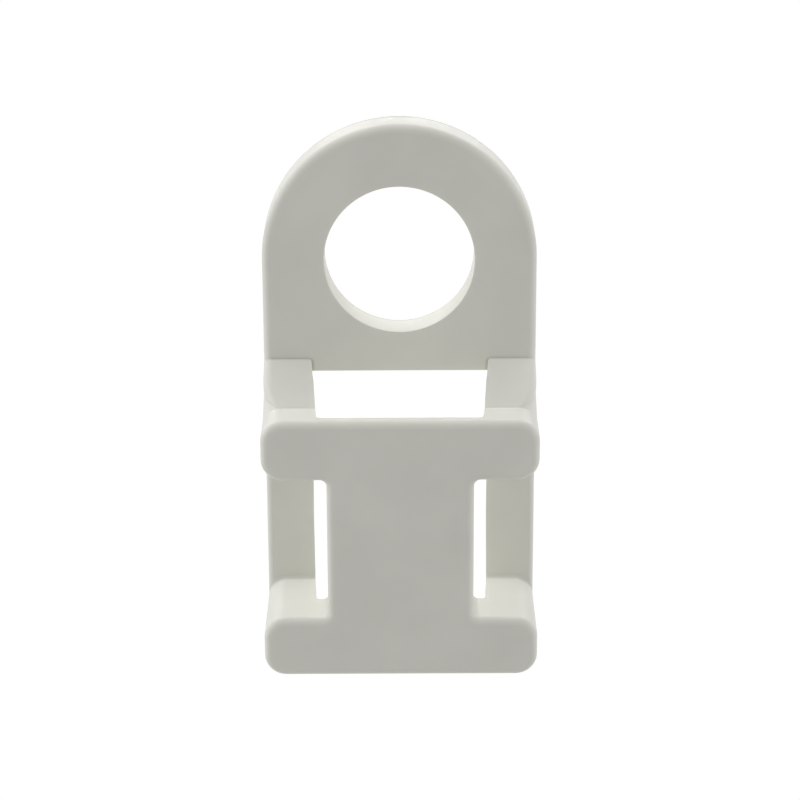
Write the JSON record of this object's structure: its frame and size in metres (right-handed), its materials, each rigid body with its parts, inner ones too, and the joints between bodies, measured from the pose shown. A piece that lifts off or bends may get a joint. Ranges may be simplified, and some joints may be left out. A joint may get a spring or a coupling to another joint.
{
  "type": "cable tie mount",
  "caption": "Screw-down cable tie mount moulded in one piece: an eyelet for one screw and an I-shaped saddle that a tie threads under from either side or from the ends.",
  "frame": {"origin": "middle of the outline, in the seating plane", "axes": "+Y along the mount towards the screw eyelet, +Z away from the surface that carries the mount, +X across it"},
  "size_m": [0.0094, 0.0188, 0.005],
  "materials": {
    "natural_nylon": "smooth satin off-white natural nylon, as moulded"
  },
  "bodies": {
    "root": {"mount_body": "natural_nylon"}
  },
  "joints": []
}
